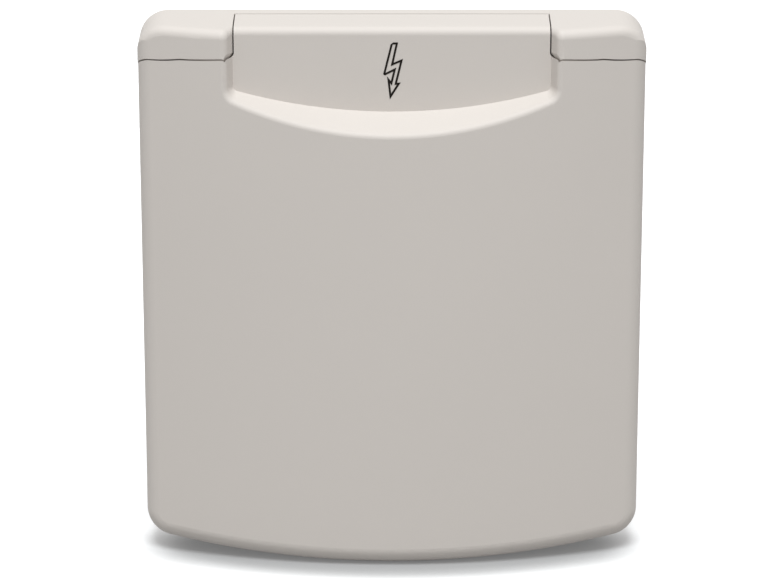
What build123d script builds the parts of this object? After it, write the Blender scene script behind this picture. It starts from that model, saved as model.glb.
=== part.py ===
"""Outdoor weatherproof socket: a wall frame with a top-hinged rain lid over a side-earth outlet in a tub.

Millimetres. The wall is y = 0, the front faces -y, and z = 0 is half-way up the cover.
"""

import math
import os

from build123d import *

os.makedirs("parts", exist_ok=True)

# Cover, seen from the front and in plan
width = 135.0
height = 150.0
top_corner = 8.0
bottom_corner = 8.0
bottom_radius = 470.0
cover_depth = 27.3
bow_radius = 198.0
shoulder_width = 25.5
shoulder_edge = 2.4
shoulder_wall = 3.0
pocket_corner = 3.0
pocket_cover = 4.0

# Lid
lid_wall = 2.4
lid_side_inset = 0.15
lid_edge = 5.0
tongue_edge = 2.0
lid_gap = 0.4
tongue_gap = 0.35
parting_gap = 0.35

# Sunk panel in the lid with a sloping ledge below it
sunk_depth = 18.6
sunk_drop = 22.9
sunk_radius = 150.0
ledge_slope = 25.6
sunk_corner = 1.5
ledge_edge = 1.5
shoulder_inner_edge = 1.8

# Hinge line and the rounded noses of the shoulders that the lid turns round
hinge_depth = 16.2
hinge_drop = 3.4
nose_inner = 7.25
nose_end = 4.0
nose_cone = 2.3
nose_proud = 0.6
nose_outer = 5.65
nose_taper = 14.0
nose_fall = 26.6
pin_radius = 1.25
pin_chamfer = 0.3
pin_in_frame = 10.0
pin_in_lid = 5.0
pin_play = 0.05
knuckle_radius = 3.4
knuckle_length = 6.5
swing_gap = 0.3

# Wall flange
flange = 4.2
flange_inset = 0.8
gasket_thickness = 1.5
gasket_lip = 2.0
wall_screw_side = 9.0
wall_screw_end = 25.0
wall_screw_radius = 2.2
wall_head_radius = 4.2
wall_head_sink = 1.0
wall_pad_radius = 4.6

# Tub
mouth_side = 21.5
mouth_above = 27.0
mouth_below = 24.0
mouth_corner = 9.0
tub_wall = 2.2
tub_depth = 34.0
tub_floor = 3.0
side_draft = 3.0
top_draft = 2.0
bottom_draft = 8.0
floor_corner = 7.0
lip_thickness = 2.0
lip_edge = 2.2
tub_screw_inset = 10.0
tub_screw_radius = 1.45
tub_screw_head = 2.8
tub_screw_sink = 1.6
tub_boss = 3.0
tub_boss_rise = 2.2
tub_boss_cap = 0.5

# Rain rim round the mouth of the tub, and the rubber on its edge
rim_side = 3.5
rim_above = 4.5
rim_end = 6.0
rim_corner = 11.0
rim_wall = 2.0
rim_rise = 5.0
seal_width = 4.4
seal_cover = 2.4
seal_bead = 1.6
seal_round = 1.4
rib_wall = 2.0
rib_gap = 0.3
seal_swing_gap = 0.7

# Magnetic catch
catch_side = 29.5
catch_above = 13.0
magnet_radius = 4.0
magnet_length = 4.0
catch_boss = 6.4
catch_rise = 2.2
catch_gap = 0.4
plate_radius = 5.0
plate_thickness = 1.5
post_radius = 6.4

# Notch for the plug's lead
notch_half = 6.5
notch_reach = 15.5
notch_rise = 8.0

# Outlet
socket_z = 10.0
socket_side = 50.0
socket_corner = 6.0
socket_round = 0.8
socket_flange = 4.0
insert_gasket_thickness = 1.0
insert_gasket_inset = 0.5
insert_pitch = 38.0
insert_screw_radius = 1.75
insert_screw_head = 3.6
insert_screw_length = 13.0
insert_hole_radius = 2.1
insert_boss = 4.0
insert_boss_rise = 7.0
insert_boss_cap = 1.0
plug_radius = 19.5
plug_depth = 17.5
plug_lead_in = 0.8
cup_wall = 1.8
cup_play = 0.3
cup_floor = 4.0
guide_width = 5.0
guide_rise = 2.4
guide_root = 0.4
guide_set_back = 1.5
pin_pitch = 19.0
pin_bore = 2.6
pin_reach = 19.5
clip_width = 7.0
clip_slot_width = 7.8
clip_slot_inner = 15.9
clip_slot_outer = 18.9
clip_foot = 1.5
clip_bulge = 2.4
clip_bulge_at = 7.0
clip_tip = 0.6
clip_tip_at = 3.0

# Contacts
carrier_depth = 16.0
carrier_play = 0.1
carrier_screw_offset = 11.0
carrier_screw_radius = 1.45
carrier_screw_head = 2.7
carrier_screw_cap = 1.0
sleeve_radius = 3.4
terminal_side = 8.0
terminal_corner = 1.0
terminal_depth = 7.0
wire_hole = 1.5
strip = 1.1
earth_tab = 6.5
earth_screw_reach = 3.0
terminal_screw_radius = 1.5
terminal_head = 2.6
flat_head_rise = 1.8

# Rear wiring cover
cover_wall = 2.2
cover_half = 26.0
cover_above = 25.0
cover_below = 35.0
cover_corner = 5.0
cover_inner_depth = 40.0
cover_lip = 1.6
cover_gasket_thickness = 1.0
ear_pitch = 36.0
ear_radius = 4.0
ear_thickness = 3.0
pillar_rise = 9.0
cover_screw_radius = 1.6
cover_screw_head = 3.0
cover_screw_length = 10.0

# Cable gland under the rear cover
gland_set_back = 19.0
gland_thread = 8.0
gland_bore = 5.4
gland_hex = 11.0
gland_hex_height = 5.0
gland_hex_chamfer = 0.6
gland_ring = 1.2
gland_inside = 9.0
gland_outside = 8.5
gland_lower_thread = 9.0
lock_nut_height = 4.0
dome_radius = 11.5
dome_wall = 2.3
dome_height = 15.0
dome_mouth = 5.2
dome_gap = 0.3
sleeve_length = 8.0
sleeve_play = 0.5
cable_bore = 4.2
thread_play = 0.02

# Fits and details that several pieces share
seat_gap = 0.1
press_play = 0.01
screw_end_gap = 0.3
screw_chamfer = 0.45
slot_width = 0.8
overcut = 10.0
round_share = 0.6

top = height / 2
sunk_half = width / 2 - shoulder_width
hinge_y = -hinge_depth
hinge_z = top - hinge_drop
lid_back = flange + lid_gap
inner_depth = cover_depth - bow_radius + math.sqrt(bow_radius**2 - sunk_half**2)
rounding = min(1.0, round_share * (inner_depth - sunk_depth) / shoulder_edge)
nose_radius = max(nose_inner, inner_depth - hinge_depth + nose_proud)
tongue_half = sunk_half - tongue_gap
mouth_width = width - 2 * mouth_side
mouth_high = top - mouth_above
mouth_low = mouth_below - top
mouth_middle = (mouth_high + mouth_low) / 2
tub_back = tub_depth + tub_floor
tub_lip = rim_side + tub_screw_head + lip_edge
tub_hole_depth = flange + tub_boss_rise - tub_boss_cap
tub_row_pitch = (mouth_high - mouth_low) / 2 - tub_screw_inset
rim_half = mouth_width / 2 + rim_side
rim_high = mouth_high + rim_above
rim_low = mouth_low + rim_end
rim_front = flange + rim_rise
rib_back = rim_front + seal_bead + rib_gap
wall_pitch_x = width - 2 * wall_screw_side
wall_pitch_z = height - 2 * wall_screw_end
catch_pitch = width - 2 * catch_side
catch_z = catch_above - top
catch_front = flange + catch_rise
post_back = catch_front + catch_gap
insert_face = tub_depth - insert_gasket_thickness - socket_flange
plug_floor = insert_face + plug_depth
carrier_front = plug_floor + cup_floor
carrier_back = carrier_front + carrier_depth
terminal_back = carrier_back + terminal_depth
cup_radius = plug_radius + cup_wall
clip_z = (clip_slot_inner + clip_slot_outer) / 2
cover_front = tub_back + cover_gasket_thickness
cover_high = socket_z + cover_above
cover_low = socket_z - cover_below
cover_middle = (cover_high + cover_low) / 2
ear_x = cover_half + cover_wall + cover_lip + ear_radius
ear_front = tub_back + pillar_rise
gland_y = cover_front + gland_set_back
gland_z = cover_low - cover_wall
standing = (Align.CENTER, Align.CENTER, Align.MIN)


def facing_front(distance, level):
    """Plane parallel to the wall, a distance behind it, with its normal to the front."""
    return Plane((0, distance, level), (1, 0, 0), (0, -1, 0))


def facing_back(distance, level):
    """Plane parallel to the wall, a distance behind it, with its normal to the back."""
    return Plane((0, distance, level), (1, 0, 0), (0, 1, 0))


def gland_level(level):
    """Level plane on the gland's axis."""
    return Plane((0, gland_y, level))


def cover_outline(inset, high, corner):
    """Front view of the cover: straight sides up to high, and a bottom that bows downwards."""
    half = width / 2 - inset
    middle = bottom_radius - top
    reach = bottom_radius - inset
    foot = middle - math.sqrt(reach**2 - half**2)
    with BuildSketch(Plane.XZ) as view:
        with BuildLine():
            ThreePointArc((-half, foot), (0, middle - reach), (half, foot))
            Polyline((half, foot), (half, high), (-half, high), (-half, foot))
        make_face()
        fillet(view.vertices().group_by(Axis.Y)[0], bottom_corner - inset)
        if corner > 0:
            fillet(view.vertices().group_by(Axis.Y)[-1], corner)
    return view.sketch


def bowed_block(outline, inset):
    """Block of that outline, from the wall to the bowed front moved in by inset."""
    half = width / 2 + overcut
    middle = bow_radius - cover_depth
    reach = bow_radius - inset
    side = middle - math.sqrt(reach**2 - half**2)
    with BuildPart() as block:
        extrude(outline, amount=cover_depth + overcut)
        with BuildSketch(Plane.XY.offset(-height)):
            with BuildLine():
                ThreePointArc((-half, side), (0, middle - reach), (half, side))
                Polyline((half, side), (half, overcut), (-half, overcut), (-half, side))
            make_face()
        extrude(amount=3 * height, mode=Mode.INTERSECT)
    return block.part


def largest_round_face(part):
    """The bowed front of a block."""
    return part.faces().filter_by(GeomType.CYLINDER).sort_by(SortBy.AREA)[-1]


def soft_blank(side_inset, depth_inset):
    """Cover with rounded sides and bottom, left square and too tall at the top."""
    block = bowed_block(cover_outline(side_inset, height, 0), depth_inset)
    with BuildPart() as blank:
        add(block)
        front = largest_round_face(blank.part)
        fillet(front.edges().sort_by(Axis.Z)[:-1], lid_edge - depth_inset)
    return blank.part


def sunk_room(deeper):
    """Room in front of the sunk panel, with the ledge and the side walls sloping outwards."""
    slope = math.radians(ledge_slope)
    grow = deeper * (1 / math.cos(slope) - math.tan(slope))
    half = sunk_half + grow
    middle = top - sunk_drop + sunk_radius
    reach = sunk_radius + grow
    foot = middle - math.sqrt(reach**2 - half**2)
    with BuildPart() as room:
        with BuildSketch(Plane.XZ.offset(sunk_depth - deeper)) as view:
            with BuildLine():
                ThreePointArc((-half, foot), (0, middle - reach), (half, foot))
                Polyline((half, foot), (half, height), (-half, height), (-half, foot))
            make_face()
            fillet(view.vertices().group_by(Axis.Y)[0], sunk_corner / rounding + grow)
        extrude(amount=cover_depth, taper=-ledge_slope)
    return room.part


def shoulder_room(inner, end, grow):
    """Space of both shoulders from inner outwards.

    Noses turn round the hinge line, with a cone down to the end radius, and wedges fall away behind them.
    """
    fall = math.radians(nose_fall)
    reach = nose_outer + grow
    front_y = hinge_y - grow
    foot_z = hinge_z - nose_outer - grow / math.cos(fall)
    front_z = foot_z + grow * math.tan(fall)
    back_z = foot_z - (overcut - hinge_y) * math.tan(fall)
    with BuildPart() as room:
        with BuildSketch(Plane((0, hinge_y, hinge_z), (1, 0, 0), (0, -1, 0))):
            with BuildLine():
                Polyline(
                    (inner, 0),
                    (inner, end + grow),
                    (inner + nose_cone, nose_radius + grow),
                    (sunk_half + nose_taper, reach),
                    (width, reach),
                    (width, 0),
                    close=True,
                )
            make_face()
        revolve(axis=Axis((0, hinge_y, hinge_z), (1, 0, 0)))
        with BuildSketch(Plane.YZ.offset(inner)):
            with BuildLine():
                Polyline(
                    (front_y, front_z),
                    (overcut, back_z),
                    (overcut, height),
                    (front_y, height),
                    close=True,
                )
            make_face()
        extrude(amount=width - inner)
        mirror(about=Plane.YZ)
    return room.part


def side_blocks(inner):
    """Everything above the hinge line from inner outwards."""
    with BuildPart() as blocks:
        with BuildSketch(Plane.YZ.offset(inner)):
            with Locations((0, hinge_z + height / 2)):
                Rectangle(height, height)
        extrude(amount=width)
        mirror(about=Plane.YZ)
    return blocks.part


def sloping_wall_edges(part):
    """Front edges of the sloping inner walls of the shoulders."""
    walls = [
        face
        for face in part.faces().filter_by(GeomType.BSPLINE)
        if abs(face.center().X) < sunk_half + lid_edge
    ]
    edges = [edge for wall in walls for edge in wall.edges()]
    front_edges = [edge for edge in edges if edge.center().Y < -sunk_depth - seat_gap]
    return [edge for edge in front_edges if hinge_z - hinge_drop < edge.center().Z < top - seat_gap]


def ledge_edges(part):
    """Front edges of the sunk panel's ledge and side walls."""
    front = largest_round_face(part)
    return [
        edge
        for edge in front.edges()
        if abs(edge.center().X) < sunk_half + lid_edge and edge.center().Z > 0
    ]


def rim_strip(distance, line_width):
    """Strip along the rain rim, up one side, over the mouth and down the other, in front of the wall."""
    with BuildSketch(Plane.XZ.offset(distance)) as view:
        with BuildLine():
            FilletPolyline(
                (-rim_half, rim_low),
                (-rim_half, rim_high),
                (rim_half, rim_high),
                (rim_half, rim_low),
                radius=rim_corner,
            )
        trace(line_width=line_width)
    return view.sketch


def upright(distance, wide, high, low, corner, grow):
    """Rounded rectangle parallel to the wall and a distance behind it, grown by grow all round."""
    with BuildSketch(facing_front(distance, (high + low) / 2)) as view:
        RectangleRounded(wide + 2 * grow, high - low + 2 * grow, corner + grow)
    return view.sketch


def mouth_outline(distance, grow):
    """Outline of the tub's mouth."""
    return upright(distance, mouth_width, mouth_high, mouth_low, mouth_corner, grow)


def cover_plan(distance, grow):
    """Outline of the rear cover's hollow."""
    return upright(distance, 2 * cover_half, cover_high, cover_low, cover_corner, grow)


def tub_block(grow, extra_front, extra_back):
    """Tapering block of the tub's hollow, grown by grow and lengthened at its ends."""
    mouth = mouth_outline(-lip_thickness, grow)
    floor = upright(
        tub_depth,
        mouth_width - 2 * side_draft,
        mouth_high - top_draft,
        mouth_low + bottom_draft,
        floor_corner,
        grow,
    )
    with BuildPart() as block:
        loft([mouth.face(), floor.face()], ruled=True)
        if extra_front > 0:
            extrude(mouth, amount=extra_front)
        if extra_back > 0:
            extrude(floor, amount=-extra_back)
    return block.part


def screw(radius, length, head, head_rise, sunk):
    """Cross-slotted screw along +z with its head at z = 0: a cone below the face, or a flat head on it."""
    with BuildPart() as body:
        Cylinder(radius, length, align=standing)
        if sunk:
            Cone(head, radius, head_rise, align=standing)
        else:
            Cylinder(head, head_rise, align=(Align.CENTER, Align.CENTER, Align.MAX))
            chamfer(body.faces().sort_by(Axis.Z)[0].edges(), screw_chamfer)
        chamfer(body.faces().sort_by(Axis.Z)[-1].edges(), screw_chamfer)
        with Locations((0, 0, 0 if sunk else -head_rise)):
            for turn in (0, 90):
                Box(2 * radius, slot_width, head_rise, rotation=(0, 0, turn), mode=Mode.SUBTRACT)
    return body.part


def screw_room(radius, length, head, head_rise):
    """Hole for a sunk screw along +z, with its cone at z = 0."""
    with BuildPart() as room:
        Cylinder(radius, length, align=standing)
        Cone(head, radius, head_rise, align=standing)
    return room.part


def placed(plane, spots):
    """Places on a plane, at spots given in that plane."""
    return [plane.location * Location((x, y, 0)) for x, y in spots]


def grid(across, upwards, rows):
    """Spots in two columns and some rows, about the middle."""
    first = -upwards * (rows - 1) / 2
    return [(side * across / 2, first + row * upwards) for row in range(rows) for side in (-1, 1)]


wall_spots = grid(wall_pitch_x, wall_pitch_z, 2)
tub_spots = grid(2 * rim_half, tub_row_pitch, 3)
insert_spots = grid(insert_pitch, insert_pitch, 2)
ear_spots = grid(2 * ear_x, ear_pitch, 2)
catch_spots = grid(catch_pitch, 0, 1)
pin_spots = grid(pin_pitch, 0, 1)
carrier_spots = [(side * carrier_screw_offset, side * carrier_screw_offset) for side in (-1, 1)]
hinge_plane = Plane((0, hinge_y, hinge_z), (0, 1, 0), (1, 0, 0))
shared_room = sunk_room(0)

# Shoulders, shaped as one with the cover and then cut to the noses and wedges
crisp_block = bowed_block(cover_outline(0, top, top_corner), 0)
soft_block = soft_blank(0, 0)
nose_barrel = shoulder_room(sunk_half, nose_radius, 0)
nose_room = shoulder_room(sunk_half, nose_end, 0)
with BuildPart() as shoulders:
    add(crisp_block)
    fillet(largest_round_face(shoulders.part).edges(), rounding * shoulder_edge)
    add(soft_block, mode=Mode.INTERSECT)
    add(shared_room, mode=Mode.SUBTRACT)
    add(nose_barrel, mode=Mode.INTERSECT)
    fillet(sloping_wall_edges(shoulders.part), rounding * shoulder_inner_edge)
    add(nose_room, mode=Mode.INTERSECT)

# Mounting frame
flange_outline = cover_outline(flange_inset, top, top_corner)
gasket_inset = flange_inset + gasket_lip
gasket_room = cover_outline(gasket_inset, top - gasket_lip, top_corner - gasket_lip)
mouth_hole = mouth_outline(0, 0)
lip_room = mouth_outline(0, tub_lip + seat_gap)
rim_base = rim_strip(flange, rim_wall)
swing_radius = math.hypot(hinge_depth - lid_back, hinge_drop) + swing_gap
pocket_low = hinge_z - nose_outer
pocket_high = top - shoulder_wall
pocket_near = sunk_half + shoulder_wall
pocket_far = width / 2 - shoulder_wall
with BuildPart() as gasket_cut:
    extrude(gasket_room, amount=gasket_thickness)
    with BuildSketch(Plane.XZ):
        with Locations(wall_spots):
            Circle(wall_pad_radius)
    extrude(amount=gasket_thickness, mode=Mode.SUBTRACT)
with BuildPart() as mounting_frame:
    extrude(flange_outline, amount=flange)
    add(shoulders.part)
    extrude(rim_base, amount=rim_rise)
    with BuildSketch(facing_front(-flange, mouth_middle)):
        with Locations(tub_spots):
            Circle(tub_boss)
    extrude(amount=tub_boss_rise)
    with BuildSketch(facing_front(-flange, catch_z)):
        with Locations(catch_spots):
            Circle(catch_boss)
    extrude(amount=catch_rise)
    extrude(mouth_hole, amount=flange, mode=Mode.SUBTRACT)
    extrude(lip_room, amount=lip_thickness, mode=Mode.SUBTRACT)
    add(gasket_cut.part, mode=Mode.SUBTRACT)
    with BuildSketch(Plane.XZ):
        with Locations(wall_spots):
            Circle(wall_screw_radius)
    extrude(amount=flange, mode=Mode.SUBTRACT)
    with BuildSketch(Plane.XZ.offset(flange)):
        with Locations(wall_spots):
            Circle(wall_head_radius)
    extrude(amount=-wall_head_sink, mode=Mode.SUBTRACT)
    with BuildSketch(facing_front(0, mouth_middle)):
        with Locations(tub_spots):
            Circle(tub_screw_radius + press_play)
    extrude(amount=tub_hole_depth, mode=Mode.SUBTRACT)
    with BuildSketch(facing_front(-catch_front, catch_z)):
        with Locations(catch_spots):
            Circle(magnet_radius + press_play)
    extrude(amount=-magnet_length, mode=Mode.SUBTRACT)
    with BuildSketch(hinge_plane):
        Circle(swing_radius)
    extrude(amount=sunk_half, both=True, mode=Mode.SUBTRACT)
    with BuildSketch(hinge_plane):
        Circle(pin_radius + press_play)
    extrude(amount=sunk_half + pin_in_frame, both=True, mode=Mode.SUBTRACT)
    with BuildSketch(facing_front(0, (pocket_low + pocket_high) / 2)):
        with Locations(grid(pocket_near + pocket_far, 0, 1)):
            RectangleRounded(pocket_far - pocket_near, pocket_high - pocket_low, pocket_corner)
    extrude(amount=hinge_depth - pin_radius - pocket_cover, mode=Mode.SUBTRACT)
mounting_frame.part.label = "mounting_frame"
export_step(mounting_frame.part, "parts/mounting_frame.step")

# Gasket behind the flange
lip_clear = mouth_outline(0, tub_lip + 2 * seat_gap)
gasket_outline = cover_outline(
    gasket_inset + seat_gap,
    top - gasket_lip - seat_gap,
    top_corner - gasket_lip - seat_gap,
)
with BuildPart() as wall_gasket:
    extrude(gasket_outline, amount=gasket_thickness)
    extrude(lip_clear, amount=gasket_thickness, mode=Mode.SUBTRACT)
    with BuildSketch(Plane.XZ):
        with Locations(wall_spots):
            Circle(wall_pad_radius + seat_gap)
    extrude(amount=gasket_thickness, mode=Mode.SUBTRACT)
wall_gasket.part.label = "wall_gasket"
export_step(wall_gasket.part, "parts/wall_gasket.step")

# Rubber edge on the rain rim
seal_body = rim_strip(rim_front - seal_cover, seal_width)
seal_slot = rim_strip(rim_front - seal_cover, rim_wall)
with BuildPart() as lid_seal:
    extrude(seal_body, amount=seal_cover + seal_bead)
    fillet(lid_seal.faces().sort_by(Axis.Y)[0].edges(), seal_round)
    extrude(seal_slot, amount=seal_cover, mode=Mode.SUBTRACT)
lid_seal.part.label = "lid_seal"
export_step(lid_seal.part, "parts/lid_seal.step")

# Room that the rubber edge needs while the lid turns round the hinge line
seal_half = rim_half + seal_width / 2
seal_clear = hinge_z - rim_high - seal_width / 2 - seal_swing_gap
with BuildPart() as seal_swing:
    with BuildSketch(hinge_plane):
        with Locations((hinge_depth - rib_back / 2, (rim_high - hinge_z) / 2)):
            Rectangle(rib_back, hinge_z - rim_high)
        Circle(seal_clear, mode=Mode.SUBTRACT)
    extrude(amount=seal_half + seal_swing_gap, both=True)

# Lid: the hollow is cut round the bosses, the seal rib and the catch posts, which stay standing
lid_blank = soft_blank(lid_side_inset, 0)
hollow_blank = soft_blank(lid_side_inset + lid_wall, lid_wall)
outer_room = shoulder_room(tongue_half, nose_end, parting_gap)
outer_blocks = side_blocks(tongue_half)
inner_room = shoulder_room(tongue_half - lid_wall, nose_end, parting_gap + lid_wall)
inner_blocks = side_blocks(tongue_half - lid_wall)
panel_room = sunk_room(lid_wall)
rib_base = rim_strip(rib_back, rib_wall)
with BuildPart() as lid_hollow:
    add(hollow_blank)
    split(bisect_by=Plane.XY.offset(top - lid_wall), keep=Keep.BOTTOM)
    add(panel_room, mode=Mode.SUBTRACT)
    add(inner_room, mode=Mode.SUBTRACT)
    add(inner_blocks, mode=Mode.SUBTRACT)
    extrude(rib_base, amount=cover_depth, mode=Mode.SUBTRACT)
    with BuildSketch(facing_front(-post_back, catch_z)):
        with Locations(catch_spots):
            Circle(post_radius)
    extrude(amount=cover_depth, mode=Mode.SUBTRACT)
    for side in (-1, 1):
        with BuildSketch(hinge_plane.offset(side * (tongue_half - knuckle_length))):
            Circle(knuckle_radius)
        extrude(amount=side * knuckle_length, mode=Mode.SUBTRACT)
with BuildPart() as lid:
    add(lid_blank)
    split(bisect_by=Plane.XY.offset(top), keep=Keep.BOTTOM)
    split(bisect_by=Plane.XZ.offset(lid_back), keep=Keep.TOP)
    add(shared_room, mode=Mode.SUBTRACT)
    fillet(ledge_edges(lid.part), rounding * ledge_edge)
    add(outer_room, mode=Mode.SUBTRACT)
    add(outer_blocks, mode=Mode.SUBTRACT)
    top_edges = lid.edges().filter_by(Axis.X).group_by(Axis.Z)[-1]
    fillet(top_edges.sort_by(Axis.Y)[0], tongue_edge)
    add(lid_hollow.part, mode=Mode.SUBTRACT)
    add(seal_swing.part, mode=Mode.SUBTRACT)
    with BuildSketch(hinge_plane):
        Circle(pin_radius + pin_play)
    extrude(amount=tongue_half, both=True, mode=Mode.SUBTRACT)
    with BuildSketch(facing_front(-post_back, catch_z)):
        with Locations(catch_spots):
            Circle(plate_radius + press_play)
    extrude(amount=plate_thickness, mode=Mode.SUBTRACT)
    with BuildSketch(Plane.XY.offset(-top)):
        with Locations((0, notch_half - notch_reach)):
            Circle(notch_half)
        with Locations((0, (notch_half - notch_reach) / 2)):
            Rectangle(2 * notch_half, notch_reach - notch_half)
    extrude(amount=notch_rise, mode=Mode.SUBTRACT)
lid.part.label = "lid"
export_step(lid.part, "parts/lid.step")

# Hinge pins
for side, name in ((-1, "hinge_pin_left"), (1, "hinge_pin_right")):
    with BuildPart() as hinge_pin:
        with BuildSketch(hinge_plane.offset(side * (tongue_half - pin_in_lid))):
            Circle(pin_radius)
        extrude(amount=side * (pin_in_lid + tongue_gap + pin_in_frame))
        chamfer(hinge_pin.edges().filter_by(GeomType.CIRCLE), pin_chamfer)
    hinge_pin.part.label = name
    export_step(hinge_pin.part, "parts/" + name + ".step")

# Magnets in the frame and steel plates in the lid
with BuildPart() as catch_magnets:
    with BuildSketch(facing_front(-catch_front, catch_z)):
        with Locations(catch_spots):
            Circle(magnet_radius)
    extrude(amount=-magnet_length)
catch_magnets.part.label = "catch_magnets"
export_step(catch_magnets.part, "parts/catch_magnets.step")

with BuildPart() as catch_plates:
    with BuildSketch(facing_front(-post_back, catch_z)):
        with Locations(catch_spots):
            Circle(plate_radius)
    extrude(amount=plate_thickness)
catch_plates.part.label = "catch_plates"
export_step(catch_plates.part, "parts/catch_plates.step")

# Tub in the wall
tub_outside = tub_block(tub_wall, 0, tub_floor)
tub_inside = tub_block(0, overcut, 0)
lip_outline = mouth_outline(0, tub_lip)
tub_seats = placed(facing_front(0, mouth_middle), tub_spots)
tub_screw_hole = screw_room(
    tub_screw_radius + press_play,
    lip_thickness + overcut,
    tub_screw_head + press_play,
    tub_screw_sink,
)
with BuildPart() as recess_tub:
    add(tub_outside)
    extrude(lip_outline, amount=lip_thickness)
    with BuildSketch(facing_front(tub_back, socket_z)):
        with Locations(insert_spots):
            Circle(insert_boss)
    extrude(amount=-insert_boss_rise)
    with BuildSketch(facing_front(tub_back, cover_middle)):
        with Locations(ear_spots):
            Circle(ear_radius)
    extrude(amount=-pillar_rise)
    add(tub_inside, mode=Mode.SUBTRACT)
    with BuildSketch(facing_front(tub_depth, socket_z)):
        Circle(cup_radius + cup_play)
    extrude(amount=-tub_floor, mode=Mode.SUBTRACT)
    with BuildSketch(facing_front(tub_depth, socket_z)):
        with Locations(insert_spots):
            Circle(insert_screw_radius + press_play)
    extrude(amount=-tub_floor - insert_boss_rise + insert_boss_cap, mode=Mode.SUBTRACT)
    with BuildSketch(facing_front(ear_front, cover_middle)):
        with Locations(ear_spots):
            Circle(cover_screw_radius + press_play)
    extrude(amount=cover_screw_length - ear_thickness + screw_end_gap, mode=Mode.SUBTRACT)
    with Locations(tub_seats):
        add(tub_screw_hole, mode=Mode.SUBTRACT)
recess_tub.part.label = "recess_tub"
export_step(recess_tub.part, "parts/recess_tub.step")

tub_screw = screw(tub_screw_radius, tub_hole_depth - screw_end_gap, tub_screw_head, tub_screw_sink, True)
with BuildPart() as tub_screws:
    with Locations(tub_seats):
        add(tub_screw)
tub_screws.part.label = "tub_screws"
export_step(tub_screws.part, "parts/tub_screws.step")

# Front moulding of the outlet
insert_sink = insert_screw_head - insert_screw_radius
insert_seats = placed(facing_back(insert_face, socket_z), insert_spots)
insert_screw_hole = screw_room(
    insert_hole_radius,
    socket_flange,
    insert_screw_head + press_play,
    insert_sink,
)
socket_high = socket_z + socket_side / 2
socket_low = socket_z - socket_side / 2
socket_outline = upright(insert_face, socket_side, socket_high, socket_low, socket_corner, 0)
with BuildPart() as socket_insert:
    extrude(socket_outline, amount=-socket_flange)
    fillet(socket_insert.faces().sort_by(Axis.Y)[0].edges(), socket_round)
    with BuildSketch(facing_front(insert_face + socket_flange, socket_z)):
        Circle(cup_radius)
    extrude(amount=insert_face + socket_flange - carrier_back)
    with BuildSketch(facing_front(insert_face, socket_z)):
        Circle(plug_radius)
    extrude(amount=-plug_depth, mode=Mode.SUBTRACT)
    chamfer(socket_insert.faces().sort_by(Axis.Y)[0].inner_wires()[0].edges(), plug_lead_in)
    with BuildSketch(facing_front(plug_floor, socket_z)):
        with Locations(grid(2 * plug_radius - guide_rise, 0, 1)):
            Rectangle(guide_rise + 2 * guide_root, guide_width)
    extrude(amount=plug_depth - guide_set_back)
    with BuildSketch(facing_front(carrier_front, socket_z)):
        Circle(plug_radius)
    extrude(amount=-carrier_depth, mode=Mode.SUBTRACT)
    with BuildSketch(facing_front(plug_floor, socket_z)):
        with Locations(pin_spots):
            Circle(pin_bore)
        with Locations((0, clip_z), (0, -clip_z)):
            Rectangle(clip_slot_width, clip_slot_outer - clip_slot_inner)
    extrude(amount=-cup_floor, mode=Mode.SUBTRACT)
    with BuildSketch(facing_front(carrier_front, socket_z)):
        with Locations(carrier_spots):
            Circle(carrier_screw_radius + press_play)
    extrude(amount=cup_floor - carrier_screw_cap, mode=Mode.SUBTRACT)
    with Locations(insert_seats):
        add(insert_screw_hole, mode=Mode.SUBTRACT)
socket_insert.part.label = "socket_insert"
export_step(socket_insert.part, "parts/socket_insert.step")

insert_screw = screw(insert_screw_radius, insert_screw_length, insert_screw_head, insert_sink, True)
with BuildPart() as insert_screws:
    with Locations(insert_seats):
        add(insert_screw)
insert_screws.part.label = "insert_screws"
export_step(insert_screws.part, "parts/insert_screws.step")

gasket_front = insert_face + socket_flange
insert_gasket_outline = upright(
    gasket_front,
    socket_side,
    socket_high,
    socket_low,
    socket_corner,
    -insert_gasket_inset,
)
with BuildPart() as insert_gasket:
    extrude(insert_gasket_outline, amount=-insert_gasket_thickness)
    with BuildSketch(facing_front(gasket_front, socket_z)):
        Circle(cup_radius + cup_play)
        with Locations(insert_spots):
            Circle(insert_hole_radius)
    extrude(amount=-insert_gasket_thickness, mode=Mode.SUBTRACT)
insert_gasket.part.label = "insert_gasket"
export_step(insert_gasket.part, "parts/insert_gasket.step")

# Contact carrier
with BuildPart() as contact_carrier:
    with BuildSketch(facing_front(carrier_front, socket_z)):
        Circle(plug_radius - carrier_play)
    extrude(amount=-carrier_depth)
    with BuildSketch(facing_front(carrier_front, socket_z)):
        Rectangle(clip_slot_width, 2 * plug_radius)
    extrude(amount=-strip, mode=Mode.SUBTRACT)
    with BuildSketch(facing_front(carrier_front, socket_z)):
        Rectangle(clip_slot_width, strip + 2 * press_play)
        with Locations(pin_spots):
            Circle(sleeve_radius + press_play)
        with Locations(carrier_spots):
            Circle(carrier_screw_radius + seat_gap)
    extrude(amount=-carrier_depth, mode=Mode.SUBTRACT)
contact_carrier.part.label = "contact_carrier"
export_step(contact_carrier.part, "parts/contact_carrier.step")

carrier_screw_length = carrier_depth + cup_floor - carrier_screw_cap - screw_end_gap
carrier_screw = screw(carrier_screw_radius, carrier_screw_length, carrier_screw_head, flat_head_rise, False)
with BuildPart() as carrier_screws:
    with Locations(placed(facing_front(carrier_back, socket_z), carrier_spots)):
        add(carrier_screw)
carrier_screws.part.label = "carrier_screws"
export_step(carrier_screws.part, "parts/carrier_screws.step")

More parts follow.
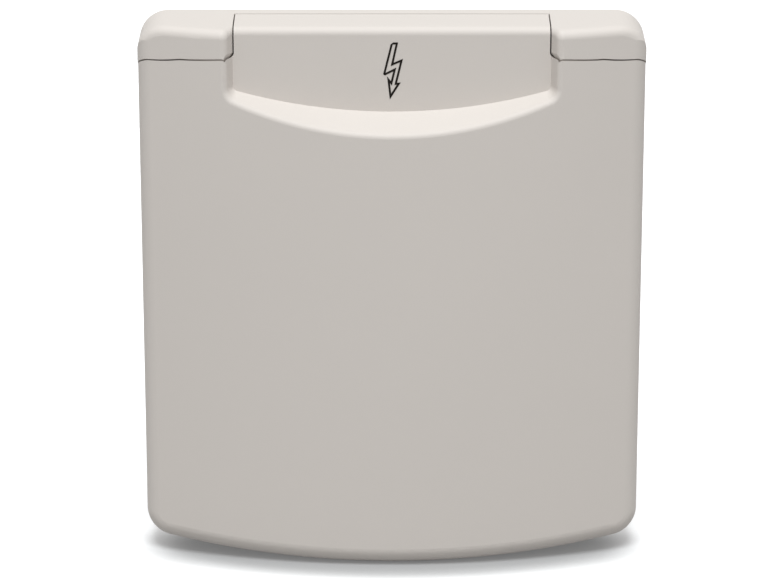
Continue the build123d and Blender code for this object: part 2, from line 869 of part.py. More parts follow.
# Line and neutral contacts
for spot, name in zip(pin_spots, ("line_contact", "neutral_contact")):
    with BuildPart() as contact:
        with BuildSketch(facing_front(carrier_front, socket_z)):
            with Locations(spot):
                Circle(sleeve_radius)
        extrude(amount=-carrier_depth)
        with BuildSketch(facing_front(carrier_back, socket_z)):
            with Locations(spot):
                RectangleRounded(terminal_side, terminal_side, terminal_corner)
        extrude(amount=-terminal_depth)
        with BuildSketch(facing_front(carrier_front, socket_z)):
            with Locations(spot):
                Circle(pin_bore)
        extrude(amount=cup_floor - pin_reach, mode=Mode.SUBTRACT)
        with BuildSketch(Plane((spot[0], carrier_back + terminal_depth / 2, socket_z))):
            Circle(wire_hole)
        extrude(amount=terminal_side, both=True, mode=Mode.SUBTRACT)
        with BuildSketch(facing_front(terminal_back, socket_z)):
            with Locations(spot):
                Circle(terminal_screw_radius + press_play)
        extrude(amount=terminal_depth / 2, mode=Mode.SUBTRACT)
    contact.part.label = name
    export_step(contact.part, "parts/" + name + ".step")

# Earth bracket with its two spring clips and the tab for the earth wire
tab_length = carrier_depth + earth_tab
earth_level = Plane((0, carrier_back + terminal_depth / 2, socket_z))
earth_seat = Plane(earth_level.origin + Vector(0, 0, strip / 2), (1, 0, 0), (0, 0, -1))
with BuildPart() as earth_bracket:
    with BuildSketch(facing_front(carrier_front, socket_z)):
        Rectangle(clip_width, 2 * clip_z + strip)
    extrude(amount=-strip)
    for side in (-1, 1):
        with BuildSketch(Plane.YZ):
            with BuildLine():
                Polyline(
                    (carrier_front + strip / 2, socket_z + side * clip_z),
                    (plug_floor - clip_foot, socket_z + side * clip_z),
                    (insert_face + clip_bulge_at, socket_z + side * (clip_z - clip_bulge)),
                    (insert_face + clip_tip_at, socket_z + side * (clip_z - clip_tip)),
                )
            trace(line_width=strip)
        extrude(amount=clip_width / 2, both=True)
    with BuildSketch(Plane((0, carrier_front + tab_length / 2, socket_z))):
        Rectangle(clip_width, tab_length)
    extrude(amount=strip / 2, both=True)
    with BuildSketch(earth_level):
        Circle(terminal_screw_radius + press_play)
    extrude(amount=strip, both=True, mode=Mode.SUBTRACT)
earth_bracket.part.label = "earth_bracket"
export_step(earth_bracket.part, "parts/earth_bracket.step")

wire_screw_length = terminal_depth / 2 - wire_hole
earth_screw_length = strip + earth_screw_reach
wire_screw = screw(terminal_screw_radius, wire_screw_length, terminal_head, flat_head_rise, False)
earth_screw = screw(terminal_screw_radius, earth_screw_length, terminal_head, flat_head_rise, False)
with BuildPart() as terminal_screws:
    with Locations(placed(facing_front(terminal_back, socket_z), pin_spots)):
        add(wire_screw)
    with Locations(earth_seat.location):
        add(earth_screw)
terminal_screws.part.label = "terminal_screws"
export_step(terminal_screws.part, "parts/terminal_screws.step")

# Rear wiring cover
cover_outside = cover_plan(cover_front, cover_wall)
cover_inside = cover_plan(cover_front, 0)
cover_rim = cover_plan(cover_front, cover_wall + cover_lip)
with BuildPart() as rear_cover:
    extrude(cover_outside, amount=-cover_inner_depth - cover_wall)
    fillet(rear_cover.faces().sort_by(Axis.Y)[-1].edges(), cover_wall)
    extrude(cover_rim, amount=-cover_wall)
    with BuildSketch(facing_front(ear_front, cover_middle)):
        with Locations(ear_spots):
            Circle(ear_radius)
        with Locations((0, ear_pitch / 2), (0, -ear_pitch / 2)):
            Rectangle(2 * ear_x, 2 * ear_radius)
    extrude(amount=-ear_thickness)
    extrude(cover_inside, amount=-cover_inner_depth, mode=Mode.SUBTRACT)
    with BuildSketch(facing_front(ear_front, cover_middle)):
        with Locations(ear_spots):
            Circle(cover_screw_radius + seat_gap)
    extrude(amount=-ear_thickness, mode=Mode.SUBTRACT)
    with BuildSketch(gland_level(gland_z)):
        Circle(gland_thread + seat_gap)
    extrude(amount=cover_wall, mode=Mode.SUBTRACT)
rear_cover.part.label = "rear_cover"
export_step(rear_cover.part, "parts/rear_cover.step")

ring_outside = cover_plan(tub_back, cover_wall + cover_lip)
ring_inside = cover_plan(tub_back, 0)
with BuildPart() as cover_gasket:
    extrude(ring_outside, amount=-cover_gasket_thickness)
    extrude(ring_inside, amount=-cover_gasket_thickness, mode=Mode.SUBTRACT)
cover_gasket.part.label = "cover_gasket"
export_step(cover_gasket.part, "parts/cover_gasket.step")

cover_screw = screw(cover_screw_radius, cover_screw_length, cover_screw_head, flat_head_rise, False)
with BuildPart() as cover_screws:
    with Locations(placed(facing_front(ear_front + ear_thickness, cover_middle), ear_spots)):
        add(cover_screw)
cover_screws.part.label = "cover_screws"
export_step(cover_screws.part, "parts/cover_screws.step")

# Cable gland, from the wall of the rear cover downwards
hex_top = gland_z - gland_ring
hex_low = hex_top - gland_hex_height
thread_low = hex_low - gland_lower_thread
dome_low = hex_low - dome_gap - dome_height
with BuildPart() as gland_body:
    with BuildSketch(gland_level(hex_low)):
        RegularPolygon(gland_hex, 6, major_radius=False)
    extrude(amount=gland_hex_height)
    chamfer(gland_body.faces().sort_by(Axis.Z)[0].edges(), gland_hex_chamfer)
    with BuildSketch(gland_level(hex_top)):
        Circle(gland_thread)
    extrude(amount=gland_ring + cover_wall + gland_inside)
    with BuildSketch(gland_level(thread_low)):
        Circle(gland_outside)
    extrude(amount=gland_lower_thread)
    with BuildSketch(gland_level(thread_low)):
        Circle(gland_bore)
    extrude(amount=height, mode=Mode.SUBTRACT)
gland_body.part.label = "gland_body"
export_step(gland_body.part, "parts/gland_body.step")

with BuildPart() as gland_washer:
    with BuildSketch(gland_level(hex_top)):
        Circle(gland_hex)
        Circle(gland_thread + seat_gap, mode=Mode.SUBTRACT)
    extrude(amount=gland_ring)
gland_washer.part.label = "gland_washer"
export_step(gland_washer.part, "parts/gland_washer.step")

with BuildPart() as gland_lock_nut:
    with BuildSketch(gland_level(cover_low)):
        RegularPolygon(gland_hex, 6, major_radius=False)
        Circle(gland_thread + thread_play, mode=Mode.SUBTRACT)
    extrude(amount=lock_nut_height)
gland_lock_nut.part.label = "gland_lock_nut"
export_step(gland_lock_nut.part, "parts/gland_lock_nut.step")

with BuildPart() as gland_sleeve:
    with BuildSketch(gland_level(dome_low + dome_wall)):
        Circle(gland_outside - sleeve_play)
    extrude(amount=thread_low - dome_low - dome_wall)
    with BuildSketch(gland_level(thread_low)):
        Circle(gland_bore - press_play)
    extrude(amount=sleeve_length)
    with BuildSketch(gland_level(dome_low)):
        Circle(cable_bore)
    extrude(amount=height, mode=Mode.SUBTRACT)
gland_sleeve.part.label = "gland_sleeve"
export_step(gland_sleeve.part, "parts/gland_sleeve.step")

with BuildPart() as gland_nut:
    with BuildSketch(gland_level(dome_low)):
        Circle(dome_radius)
    extrude(amount=dome_height)
    fillet(gland_nut.faces().sort_by(Axis.Z)[0].edges(), dome_radius - gland_outside)
    with BuildSketch(gland_level(dome_low + dome_wall)):
        Circle(gland_outside + thread_play)
    extrude(amount=dome_height, mode=Mode.SUBTRACT)
    with BuildSketch(gland_level(dome_low)):
        Circle(dome_mouth)
    extrude(amount=dome_wall, mode=Mode.SUBTRACT)
gland_nut.part.label = "gland_nut"
export_step(gland_nut.part, "parts/gland_nut.step")
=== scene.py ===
"""Looks of an outdoor weatherproof socket: its finishes, a printed sign, grip ribs and a studio."""

import math

import bpy
from bpy.props import FloatProperty, FloatVectorProperty, IntProperty, PointerProperty
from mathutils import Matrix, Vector


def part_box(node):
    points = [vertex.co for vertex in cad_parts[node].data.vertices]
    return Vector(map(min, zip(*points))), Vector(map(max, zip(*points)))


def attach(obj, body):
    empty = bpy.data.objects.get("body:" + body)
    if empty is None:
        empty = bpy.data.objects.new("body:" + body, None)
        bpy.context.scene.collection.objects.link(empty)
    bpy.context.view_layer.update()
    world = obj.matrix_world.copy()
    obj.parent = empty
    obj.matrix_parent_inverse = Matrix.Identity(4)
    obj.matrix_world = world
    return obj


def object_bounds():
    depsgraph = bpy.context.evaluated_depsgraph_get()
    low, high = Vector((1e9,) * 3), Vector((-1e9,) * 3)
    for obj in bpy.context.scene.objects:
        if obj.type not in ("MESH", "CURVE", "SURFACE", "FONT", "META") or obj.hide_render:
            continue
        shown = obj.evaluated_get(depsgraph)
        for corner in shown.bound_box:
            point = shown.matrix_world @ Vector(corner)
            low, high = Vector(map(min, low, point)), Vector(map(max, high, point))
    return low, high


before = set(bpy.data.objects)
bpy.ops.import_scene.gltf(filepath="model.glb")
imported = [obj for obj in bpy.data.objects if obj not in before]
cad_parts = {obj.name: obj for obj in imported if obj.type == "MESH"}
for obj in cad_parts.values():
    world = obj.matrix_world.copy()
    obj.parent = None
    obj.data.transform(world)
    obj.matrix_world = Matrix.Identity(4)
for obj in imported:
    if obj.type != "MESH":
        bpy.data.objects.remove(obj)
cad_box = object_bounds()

bl_info = {
    "name": "Outdoor socket looks",
    "version": (1, 0, 0),
    "blender": (4, 5, 0),
    "location": "View3D > Sidebar > Outdoor socket",
    "description": "Finishes, sign, grip ribs and studio for a weatherproof wall socket",
    "category": "Object",
}

MM = 0.001

# Corners of the bolt outline, as parts of its height, from its top left corner clockwise
BOLT_CORNERS = (
    (0.0, 0.0),
    (0.09, 0.0),
    (0.005, -0.395),
    (0.175, -0.32),
    (0.07, -0.762),
    (0.125, -0.758),
    (-0.025, -1.0),
    (-0.062, -0.685),
    (-0.01, -0.75),
    (0.052, -0.49),
    (-0.143, -0.59),
)

# Moulded skin: scale of the coarse grain, and shares of the pits and of the clouds
COARSE_SCALE = 0.37
PIT_SHARE = 0.65
CLOUD_SHARE = 0.75

# Noise per metre: stains on metal and bloom on rubber
STAIN_SCALE = 160.0
BLOOM_SCALE = 70.0

# Ribs of the gland's nut: rounding steps, and the sharpest edge that is shaded smooth
RIB_STEPS = 3
RIB_SMOOTH = math.radians(40)

# Studio: side of the floor, place of the key light and range of the camera, in metres
FLOOR_SIZE = 8.0
KEY_PLACE = (0.0, -0.5, 1.0)
CAMERA_RANGE = 20.0

# Width of the film in millimetres, and the colour of the surroundings
FILM_WIDTH = 36.0
WHITE = (1.0, 1.0, 1.0, 1.0)


def colour(name, text, default):
    """Colour property with a linear default."""
    return FloatVectorProperty(
        name=name, description=text, subtype="COLOR", size=3, min=0.0, max=1.0, default=default
    )


def length(name, text, default):
    """Length property with a default in millimetres."""
    return FloatProperty(name=name, description=text, unit="LENGTH", min=0.0, default=default * MM)


def angle(name, text, default):
    """Angle property with a default in degrees."""
    return FloatProperty(name=name, description=text, subtype="ANGLE", default=math.radians(default))


def share(name, text, default):
    """Number property from none to all."""
    return FloatProperty(
        name=name, description=text, subtype="FACTOR", min=0.0, max=1.0, default=default
    )


def level(name, text, default):
    """Plain number property for a light or a strength."""
    return FloatProperty(name=name, description=text, min=0.0, default=default)


class CoverFinish(bpy.types.PropertyGroup):
    """Finish of the lid and the frame."""

    tint: colour("Cover colour", "Warm light grey of the lid and frame", (0.571, 0.529, 0.491))
    roughness: share("Roughness", "Sheen of the cover", 0.65)
    uneven: share("Uneven sheen", "How far the roughness strays", 0.05)
    grain: length("Grain", "Size of the fine moulded texture", 0.5)
    grain_depth: length("Grain depth", "Depth of the fine moulded texture", 0.012)
    cloud: length("Cloud", "Size of the slow clouds in the plastic", 45.0)


class InnerFinish(bpy.types.PropertyGroup):
    """Finishes behind the lid."""

    tub: colour("Tub", "Dark grey of the tub and the wiring cover", (0.036, 0.038, 0.041))
    outlet: colour("Outlet", "Anthracite of the outlet moulding", (0.020, 0.022, 0.025))
    carrier: colour("Carrier", "Cream of the contact carrier", (0.72, 0.68, 0.58))
    gland: colour("Gland", "Mid grey of the cable gland", (0.18, 0.185, 0.19))
    rubber: colour("Rubber", "Black of the seals", (0.012, 0.012, 0.012))
    foam: colour("Foam", "Black of the flat gasket", (0.018, 0.018, 0.018))
    steel: colour("Steel", "Stainless screws and plates", (0.40, 0.40, 0.39))
    # Painted shade: the hinge pins are near black so that the gaps where they show read dark
    pin_shade_steel: colour("Black steel", "Blackened hinge pins", (0.03, 0.03, 0.03))
    nickel: colour("Nickel", "Plating of the magnets", (0.48, 0.47, 0.44))
    brass: colour("Brass", "Contacts", (0.70, 0.47, 0.17))


class SignSizes(bpy.types.PropertyGroup):
    """Ink and sizes of the printed bolt."""

    ink: colour("Ink", "Brown black of the print", (0.012, 0.010, 0.008))
    below_top: length("Below the top", "From the top of the lid to the bolt", 4.2)
    height: length("Height", "Height of the bolt", 14.5)
    line: length("Line", "Width of the printed line", 0.55)
    rise: length("Rise", "Thickness of the print", 0.06)


class GripSizes(bpy.types.PropertyGroup):
    """Sizes of the ribs round the gland's nut."""

    count: IntProperty(name="Ribs", description="Number of ribs", min=6, max=60, default=24)
    rise: length("Rise", "How far a rib stands out", 0.6)
    wide: length("Width", "Width of a rib", 1.3)
    low: length("Lower margin", "From the nut's lower end to the ribs", 3.6)
    high: length("Upper margin", "From the ribs to the nut's upper end", 1.2)


class StudioSettings(bpy.types.PropertyGroup):
    """Camera, lamps, surroundings and floor."""

    elevation: angle("Camera height", "Camera above the horizon", 19.2)
    distance: length("Camera distance", "From the camera to its target", 1080.0)
    lens: FloatProperty(name="Lens", description="Focal length", unit="CAMERA", default=183.8)
    aim_left: length("Aim to the left", "Target left of the middle", 0.5)
    aim_front: length("Aim in front", "Target in front of the wall", 10.0)
    aim_drop: length("Aim drop", "Target below the middle", 1.6)
    key_tint: colour("Key colour", "Cool white of the key light", (0.95, 0.98, 1.0))
    key_elevation: angle("Key height", "Key light above the horizon", 70.0)
    key_spread: angle("Key spread", "Width of the soft key light", 25.0)
    key_level: level("Key level", "Light on a face turned to the key light", 0.89)
    fill_elevation: angle("Fill height", "Front light above the horizon", 35.0)
    fill_distance: length("Fill distance", "From the front light to the camera's target", 400.0)
    fill_size: length("Fill size", "Side of the front light", 300.0)
    fill_level: level("Fill level", "Light on a face turned to the front light", 0.12)
    ambient: share("Ambient", "Light from all round", 0.55)
    floor_bounce: share("Floor bounce", "Share of light that the floor throws back", 0.34)
    floor_white: share("Floor white", "White of the floor where it is seen", 0.7)
    # Painted shadow: the floor's glow and the settings below paint a soft shadow from an occlusion node into
    # the floor's colour round the object's foot
    floor_glow: share("Floor glow", "Lifts the floor where it is seen", 0.6)
    floor_dark: share("Floor dark", "Floor in the deepest soft shadow", 0.25)
    shadow_reach: length("Shadow reach", "How far the soft shadow spreads round the foot", 12.0)
    shadow_depth: level("Shadow depth", "Strength of the soft shadow", 1.22)
    shadow_lean: angle("Shadow lean", "Leans the soft shadow to the front", 62.0)


def clear_selection():
    """Object mode with nothing selected."""
    if bpy.context.object and bpy.context.object.mode != "OBJECT":
        bpy.ops.object.mode_set(mode="OBJECT")
    bpy.ops.object.select_all(action="DESELECT")


def finish_mesh(name):
    """Turns the faces outwards in edit mode, applies the object's place and gives it a name."""
    bpy.ops.mesh.select_all(action="SELECT")
    bpy.ops.mesh.normals_make_consistent(inside=False)
    bpy.ops.object.mode_set(mode="OBJECT")
    bpy.ops.object.transform_apply(location=True, rotation=True, scale=True)
    piece = bpy.context.object
    piece.name = name
    piece.data.name = name
    return piece


def panel_front(x, z):
    """Point on the front of the lid at x and z."""
    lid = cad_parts["lid"]
    start = Vector((x, cad_box[0].y - 1.0, z))
    hit, place, _, _ = lid.ray_cast(start, Vector((0.0, 1.0, 0.0)))
    if not hit:
        raise RuntimeError("no lid behind the sign")
    return place


def new_group(name, inputs, outputs):
    """Empty shader group with float inputs and outputs, besides a Vector input."""
    group = bpy.data.node_groups.new(name, "ShaderNodeTree")
    group.interface.new_socket("Vector", in_out="INPUT", socket_type="NodeSocketVector")
    for socket, value in inputs.items():
        made = group.interface.new_socket(socket, in_out="INPUT", socket_type="NodeSocketFloat")
        made.default_value = value
    for socket in outputs:
        group.interface.new_socket(socket, in_out="OUTPUT", socket_type="NodeSocketFloat")
    source = group.nodes.new("NodeGroupInput")
    sink = group.nodes.new("NodeGroupOutput")
    return group, source, sink


def math_node(tree, operation, *values):
    """Math node whose inputs are numbers or sockets."""
    node = tree.nodes.new("ShaderNodeMath")
    node.operation = operation
    for slot, value in zip(node.inputs, values):
        if isinstance(value, (int, float)):
            slot.default_value = value
        else:
            tree.links.new(value, slot)
    return node.outputs[0]


def weighted(tree, first, second, share):
    """That share of the first value, and the rest of the second."""
    part = math_node(tree, "MULTIPLY", first, share)
    rest = math_node(tree, "MULTIPLY", second, 1.0 - share)
    return math_node(tree, "ADD", part, rest)


def noise(tree, vector, scale, detail=2.0):
    """Noise over a vector, with a number or a socket as its scale."""
    node = tree.nodes.new("ShaderNodeTexNoise")
    node.inputs["Detail"].default_value = detail
    tree.links.new(vector, node.inputs["Vector"])
    if isinstance(scale, (int, float)):
        node.inputs["Scale"].default_value = scale
    else:
        tree.links.new(scale, node.inputs["Scale"])
    return node.outputs[0]


def moulded_skin_group():
    """Fine eroded grain of a moulding tool, and slow clouds of flow in the plastic."""
    sizes = {"Grain": 0.5 * MM, "Cloud": 30 * MM}
    group, source, sink = new_group("Moulded skin", sizes, ("Height", "Tone"))
    vector = source.outputs["Vector"]
    fine = math_node(group, "DIVIDE", 1.0, source.outputs["Grain"])
    coarse = math_node(group, "MULTIPLY", fine, COARSE_SCALE)
    cloud = math_node(group, "DIVIDE", 1.0, source.outputs["Cloud"])
    pits = noise(group, vector, fine, detail=1.0)
    swell = noise(group, vector, coarse, detail=1.0)
    flow = noise(group, vector, cloud)
    group.links.new(weighted(group, pits, swell, PIT_SHARE), sink.inputs["Height"])
    group.links.new(weighted(group, flow, pits, CLOUD_SHARE), sink.inputs["Tone"])
    return group


def drawn_lines_group():
    """Fine lines that drawing or turning leaves on metal."""
    sizes = {"Line": 0.2 * MM, "Stretch": 18.0}
    group, source, sink = new_group("Drawn lines", sizes, ("Height", "Tone"))
    vector = source.outputs["Vector"]
    along = group.nodes.new("ShaderNodeCombineXYZ")
    stretch = math_node(group, "DIVIDE", 1.0, source.outputs["Stretch"])
    group.links.new(stretch, along.inputs["X"])
    along.inputs["Y"].default_value = 1.0
    along.inputs["Z"].default_value = 1.0
    scaled = group.nodes.new("ShaderNodeVectorMath")
    scaled.operation = "MULTIPLY"
    group.links.new(vector, scaled.inputs[0])
    group.links.new(along.outputs[0], scaled.inputs[1])
    fine = math_node(group, "DIVIDE", 1.0, source.outputs["Line"])
    group.links.new(noise(group, scaled.outputs[0], fine, detail=3.0), sink.inputs["Height"])
    group.links.new(noise(group, vector, STAIN_SCALE), sink.inputs["Tone"])
    return group


def foam_cells_group():
    """Closed cells of foam and the bloom on rubber."""
    group, source, sink = new_group("Foam cells", {"Cell": 0.6 * MM}, ("Height", "Tone"))
    vector = source.outputs["Vector"]
    cells = group.nodes.new("ShaderNodeTexVoronoi")
    group.links.new(vector, cells.inputs["Vector"])
    fine = math_node(group, "DIVIDE", 1.0, source.outputs["Cell"])
    group.links.new(fine, cells.inputs["Scale"])
    group.links.new(cells.outputs["Distance"], sink.inputs["Height"])
    group.links.new(noise(group, vector, BLOOM_SCALE, detail=4.0), sink.inputs["Tone"])
    return group


SURFACE_GROUPS = {
    "Moulded skin": moulded_skin_group,
    "Drawn lines": drawn_lines_group,
    "Foam cells": foam_cells_group,
}


def surface_group(name):
    """The shared group of that name, built on first use."""
    return bpy.data.node_groups.get(name) or SURFACE_GROUPS[name]()


def shade(tint, share):
    """The tint made lighter by a share, or darker by a negative one, with full alpha."""
    return tuple(min(part * (1.0 + share), 1.0) for part in tint) + (1.0,)


def surface(name, tint, group, sizes, depth, rough, shift=0.05, metallic=0.0, gloss=0.5):
    """Material whose colour, roughness and relief come from a shared surface group."""
    material = bpy.data.materials.new(name)
    material.use_nodes = True
    tree = material.node_tree
    shader = tree.nodes["Principled BSDF"]
    shader.inputs["Metallic"].default_value = metallic
    shader.inputs["Specular IOR Level"].default_value = gloss
    coords = tree.nodes.new("ShaderNodeTexCoord")
    skin = tree.nodes.new("ShaderNodeGroup")
    skin.node_tree = surface_group(group)
    tree.links.new(coords.outputs["Object"], skin.inputs["Vector"])
    for socket, value in sizes.items():
        skin.inputs[socket].default_value = value
    mix = tree.nodes.new("ShaderNodeMix")
    mix.data_type = "RGBA"
    mix.inputs["A"].default_value = shade(tint, -shift)
    mix.inputs["B"].default_value = shade(tint, shift)
    tree.links.new(skin.outputs["Tone"], mix.inputs["Factor"])
    tree.links.new(mix.outputs["Result"], shader.inputs["Base Color"])
    sheen = tree.nodes.new("ShaderNodeMapRange")
    sheen.inputs["To Min"].default_value = rough[0]
    sheen.inputs["To Max"].default_value = rough[1]
    tree.links.new(skin.outputs["Tone"], sheen.inputs["Value"])
    tree.links.new(sheen.outputs["Result"], shader.inputs["Roughness"])
    relief = tree.nodes.new("ShaderNodeBump")
    relief.inputs["Distance"].default_value = depth
    tree.links.new(skin.outputs["Height"], relief.inputs["Height"])
    tree.links.new(relief.outputs["Normal"], shader.inputs["Normal"])
    return material


def moulded(name, tint, grain, cloud, **finish):
    """Moulded plastic or print, with the sizes of its grain and clouds."""
    return surface(name, tint, "Moulded skin", {"Grain": grain, "Cloud": cloud}, **finish)


def cellular(name, tint, cell, **finish):
    """Rubber or foam, with the size of its cells."""
    return surface(name, tint, "Foam cells", {"Cell": cell}, **finish)


def drawn(name, tint, **finish):
    """Metal with the fine lines of drawing or turning."""
    sizes = {"Line": 0.15 * MM, "Stretch": 12.0}
    return surface(name, tint, "Drawn lines", sizes, metallic=1.0, **finish)


def dress(material, *nodes):
    """Gives CAD nodes that material."""
    for node in nodes:
        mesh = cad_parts[node].data
        mesh.materials.clear()
        mesh.materials.append(material)


class SOCKET_OT_cover(bpy.types.Operator):
    """Dress the lid and the frame in warm grey moulded plastic"""

    bl_idname = "socket.cover"
    bl_label = "Cover finish"

    def execute(self, context):
        look = context.scene.socket_cover
        rough = (look.roughness - look.uneven, look.roughness + look.uneven)
        plastic = moulded(
            "cover_plastic",
            look.tint,
            look.grain,
            look.cloud,
            depth=look.grain_depth,
            rough=rough,
            shift=0.02,
        )
        dress(plastic, "lid", "mounting_frame")
        return {"FINISHED"}


class SOCKET_OT_inside(bpy.types.Operator):
    """Dress the tub, the outlet, the wiring cover and the gland"""

    bl_idname = "socket.inside"
    bl_label = "Inner mouldings"

    def execute(self, context):
        look = context.scene.socket_inner
        skin = {"grain": 0.4 * MM, "cloud": 30 * MM}
        smooth = {"grain": 0.25 * MM, "cloud": 20 * MM}
        tub = moulded("dark_plastic", look.tub, **skin, depth=0.02 * MM, rough=(0.42, 0.56), shift=0.12)
        outlet = moulded(
            "insert_plastic", look.outlet, **smooth, depth=0.006 * MM, rough=(0.26, 0.36), shift=0.12
        )
        carrier = moulded("carrier_plastic", look.carrier, **smooth, depth=0.006 * MM, rough=(0.4, 0.5))
        gland = moulded(
            "gland_plastic", look.gland, **smooth, depth=0.01 * MM, rough=(0.36, 0.48), shift=0.08
        )
        dress(tub, "recess_tub", "rear_cover")
        dress(outlet, "socket_insert")
        dress(carrier, "contact_carrier")
        dress(gland, "gland_body", "gland_lock_nut", "gland_nut")
        return {"FINISHED"}


class SOCKET_OT_seals(bpy.types.Operator):
    """Dress the rubber seals and the foam gasket"""

    bl_idname = "socket.seals"
    bl_label = "Seals"

    def execute(self, context):
        look = context.scene.socket_inner
        rubber = cellular("rubber", look.rubber, 0.18 * MM, depth=0.01 * MM, rough=(0.55, 0.75), shift=0.3)
        foam = cellular("gasket", look.foam, 0.7 * MM, depth=0.12 * MM, rough=(0.75, 0.92), shift=0.3)
        dress(rubber, "lid_seal", "insert_gasket", "cover_gasket", "gland_washer", "gland_sleeve")
        dress(foam, "wall_gasket")
        return {"FINISHED"}


class SOCKET_OT_metal(bpy.types.Operator):
    """Dress the screws, pins, catch and contacts"""

    bl_idname = "socket.metal"
    bl_label = "Metal pieces"

    def execute(self, context):
        look = context.scene.socket_inner
        steel = drawn("steel", look.steel, depth=0.006 * MM, rough=(0.3, 0.45), shift=0.08)
        # Painted shade: near-black steel on the hinge pins keeps the gaps where they show dark
        pin_shade = drawn("pin_shade_steel", look.pin_shade_steel, depth=0.004 * MM, rough=(0.45, 0.6), shift=0.1)
        nickel = drawn("magnet", look.nickel, depth=0.002 * MM, rough=(0.22, 0.34), shift=0.05)
        brass = drawn("brass", look.brass, depth=0.004 * MM, rough=(0.2, 0.34), shift=0.12)
        dress(steel, "catch_plates", "tub_screws", "insert_screws")
        dress(steel, "carrier_screws", "terminal_screws", "cover_screws")
        dress(pin_shade, "hinge_pin_left", "hinge_pin_right")
        dress(nickel, "catch_magnets")
        dress(brass, "line_contact", "neutral_contact", "earth_bracket")
        return {"FINISHED"}


class SOCKET_OT_sign(bpy.types.Operator):
    """Print the outlined bolt on the sunk panel of the lid"""

    bl_idname = "socket.sign"
    bl_label = "Bolt sign"

    def execute(self, context):
        sizes = context.scene.socket_sign
        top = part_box("lid")[1].z - sizes.below_top
        face = panel_front(0.0, top - sizes.height / 2)
        corners = [Vector((x * sizes.height, face.y, top + z * sizes.height)) for x, z in BOLT_CORNERS]
        clear_selection()
        bpy.ops.mesh.primitive_plane_add(size=sizes.line, location=corners[0])
        bpy.ops.object.mode_set(mode="EDIT")
        bpy.ops.mesh.merge(type="CENTER")
        for here, there in zip(corners, corners[1:]):
            bpy.ops.mesh.extrude_vertices_move(TRANSFORM_OT_translate={"value": there - here})
        bpy.ops.mesh.select_all(action="SELECT")
        bpy.ops.mesh.edge_face_add()
        bpy.ops.mesh.delete(type="ONLY_FACE")
        bpy.ops.mesh.select_all(action="SELECT")
        bpy.ops.mesh.extrude_edges_move(TRANSFORM_OT_translate={"value": (0.0, -sizes.rise, 0.0)})
        bpy.ops.object.mode_set(mode="OBJECT")
        bpy.ops.object.modifier_add(type="SOLIDIFY")
        line = context.object.modifiers[-1]
        line.thickness = sizes.line
        line.offset = 0.0
        line.use_even_offset = True
        bpy.ops.object.modifier_apply(modifier=line.name)
        bpy.ops.object.mode_set(mode="EDIT")
        sign = finish_mesh("bolt_sign")
        ink = moulded(
            "sign_ink", sizes.ink, 0.3 * MM, 5 * MM, depth=0.004 * MM, rough=(0.7, 0.8), shift=0.2, gloss=0.1
        )
        sign.data.materials.append(ink)
        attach(sign, "cover")
        return {"FINISHED"}


class SOCKET_OT_grip(bpy.types.Operator):
    """Add the ribs that a hand grips round the gland's nut"""

    bl_idname = "socket.grip"
    bl_label = "Grip ribs"

    def execute(self, context):
        sizes = context.scene.socket_grip
        low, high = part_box("gland_nut")
        centre = (low + high) / 2
        radius = (high.x - low.x) / 2
        foot = low.z + sizes.low
        head = high.z - sizes.high
        clear_selection()
        place = Vector((centre.x + radius, centre.y, (foot + head) / 2))
        bpy.ops.mesh.primitive_cube_add(size=1.0, location=place)
        bpy.ops.object.mode_set(mode="EDIT")
        bpy.ops.transform.resize(value=(2 * sizes.rise, sizes.wide, head - foot))
        bpy.ops.mesh.bevel(offset=sizes.rise / 2, segments=RIB_STEPS)
        bpy.ops.mesh.select_all(action="SELECT")
        bpy.ops.mesh.spin(
            steps=sizes.count - 1,
            angle=math.tau * (sizes.count - 1) / sizes.count,
            dupli=True,
            center=centre,
            axis=(0.0, 0.0, 1.0),
        )
        ribs = finish_mesh("gland_nut_ribs")
        bpy.ops.object.shade_smooth_by_angle(angle=RIB_SMOOTH)
        ribs.data.materials.append(bpy.data.materials["gland_plastic"])
        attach(ribs, "housing")
        return {"FINISHED"}


def seen_rays(tree):
    """One for rays of the camera, of mirrors and of glass."""
    path = tree.nodes.new("ShaderNodeLightPath")
    seen = math_node(tree, "MAXIMUM", path.outputs["Is Camera Ray"], path.outputs["Is Glossy Ray"])
    return math_node(tree, "MAXIMUM", seen, path.outputs["Is Transmission Ray"])


def floor_material(look):
    """Pale floor, white where it is seen, with a soft shadow painted into its colour and glow round what
    stands on it.
    """
    material = bpy.data.materials.new("studio_floor")
    material.use_nodes = True
    tree = material.node_tree
    shader = tree.nodes["Principled BSDF"]
    shader.inputs["Roughness"].default_value = 1.0
    shader.inputs["Specular IOR Level"].default_value = 0.0
    shader.inputs["Emission Strength"].default_value = look.floor_glow
    lean = tree.nodes.new("ShaderNodeCombineXYZ")
    lean.inputs["Y"].default_value = math.sin(look.shadow_lean)
    lean.inputs["Z"].default_value = math.cos(look.shadow_lean)
    # Painted shadow: an occlusion node, leaned to the front, darkens the floor's colour round the object's
    # foot
    shadow = tree.nodes.new("ShaderNodeAmbientOcclusion")
    shadow.inputs["Distance"].default_value = look.shadow_reach
    tree.links.new(lean.outputs["Vector"], shadow.inputs["Normal"])
    slope = look.floor_white * look.shadow_depth
    painted_shadow = math_node(tree, "MULTIPLY_ADD", shadow.outputs["AO"], slope, look.floor_white - slope)
    painted_shadow = math_node(tree, "MAXIMUM", painted_shadow, look.floor_dark)
    seen = seen_rays(tree)
    tone = tree.nodes.new("ShaderNodeMix")
    tone.inputs["A"].default_value = look.floor_bounce
    tree.links.new(painted_shadow, tone.inputs["B"])
    tree.links.new(seen, tone.inputs["Factor"])
    tree.links.new(tone.outputs["Result"], shader.inputs["Base Color"])
    # The glow carries the painted shadow too, for seen rays only
    tree.links.new(math_node(tree, "MULTIPLY", painted_shadow, seen), shader.inputs["Emission Color"])
    return material


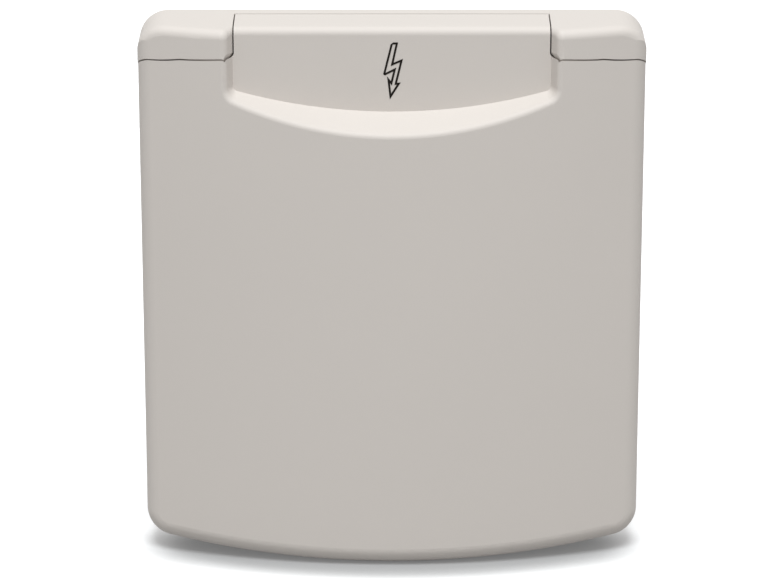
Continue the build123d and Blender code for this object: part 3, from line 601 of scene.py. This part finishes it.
def studio_world(ambient):
    """Even light from all round that looks white where it is seen."""
    world = bpy.data.worlds.new("studio")
    world.use_nodes = True
    tree = world.node_tree
    background = tree.nodes["Background"]
    background.inputs["Color"].default_value = WHITE
    strength = math_node(tree, "MULTIPLY_ADD", seen_rays(tree), 1.0 - ambient, ambient)
    tree.links.new(strength, background.inputs["Strength"])
    return world


def front_way(elevation):
    """Direction from the object to the front, raised by that angle."""
    return Vector((0.0, -math.cos(elevation), math.sin(elevation)))


def facing(way):
    """Turn of a lamp or camera that stands out along that direction and looks back."""
    return (-way).to_track_quat("-Z", "Y").to_euler()


class SOCKET_OT_studio(bpy.types.Operator):
    """Set up the floor, the lamps, the surroundings and the camera"""

    bl_idname = "socket.studio"
    bl_label = "Studio"

    def execute(self, context):
        look = context.scene.socket_studio
        scene = context.scene
        scene.view_settings.view_transform = "Standard"
        scene.world = studio_world(look.ambient)
        clear_selection()
        bpy.ops.mesh.primitive_plane_add(size=FLOOR_SIZE, location=(0.0, 0.0, cad_box[0].z))
        floor = context.object
        floor.name = "studio_floor"
        floor.data.materials.append(floor_material(look))
        aim = Vector((-look.aim_left, -look.aim_front, -look.aim_drop))
        tilt = math.pi / 2 - look.key_elevation
        bpy.ops.object.light_add(type="SUN", location=KEY_PLACE, rotation=(tilt, 0.0, 0.0))
        key = context.object
        key.name = "key_light"
        key.data.angle = look.key_spread
        key.data.energy = look.key_level * math.pi
        key.data.color = look.key_tint
        fill_way = front_way(look.fill_elevation)
        bpy.ops.object.light_add(type="AREA", location=aim + look.fill_distance * fill_way)
        fill = context.object
        fill.name = "front_light"
        fill.rotation_euler = facing(fill_way)
        fill.data.size = look.fill_size
        fill.data.energy = look.fill_level * math.pi**2 * look.fill_distance**2
        camera_way = front_way(look.elevation)
        bpy.ops.object.camera_add(location=aim + look.distance * camera_way)
        camera = context.object
        camera.name = "camera"
        camera.rotation_euler = facing(camera_way)
        camera.data.lens = look.lens
        camera.data.sensor_width = FILM_WIDTH
        camera.data.clip_end = CAMERA_RANGE
        scene.camera = camera
        return {"FINISHED"}


class SOCKET_PT_looks(bpy.types.Panel):
    """Lists the steps that dress the socket"""

    bl_label = "Outdoor socket"
    bl_space_type = "VIEW_3D"
    bl_region_type = "UI"
    bl_category = "Outdoor socket"

    def draw(self, context):
        for step in STEPS:
            self.layout.operator(step.bl_idname)


SETTINGS = {
    "socket_cover": CoverFinish,
    "socket_inner": InnerFinish,
    "socket_sign": SignSizes,
    "socket_grip": GripSizes,
    "socket_studio": StudioSettings,
}
STEPS = (
    SOCKET_OT_cover,
    SOCKET_OT_inside,
    SOCKET_OT_seals,
    SOCKET_OT_metal,
    SOCKET_OT_sign,
    SOCKET_OT_grip,
    SOCKET_OT_studio,
)


def register():
    """Adds the settings, the steps and the panel."""
    for name, group in SETTINGS.items():
        bpy.utils.register_class(group)
        setattr(bpy.types.Scene, name, PointerProperty(type=group))
    for step in (*STEPS, SOCKET_PT_looks):
        bpy.utils.register_class(step)


def unregister():
    """Takes them away again."""
    for step in reversed((*STEPS, SOCKET_PT_looks)):
        bpy.utils.unregister_class(step)
    for name, group in reversed(SETTINGS.items()):
        delattr(bpy.types.Scene, name)
        bpy.utils.unregister_class(group)


def main():
    """Runs the steps in order."""
    register()
    bpy.ops.socket.cover()
    bpy.ops.socket.inside()
    bpy.ops.socket.seals()
    bpy.ops.socket.metal()
    bpy.ops.socket.sign()
    bpy.ops.socket.grip()
    bpy.ops.socket.studio()


if __name__ == "__main__":
    main()
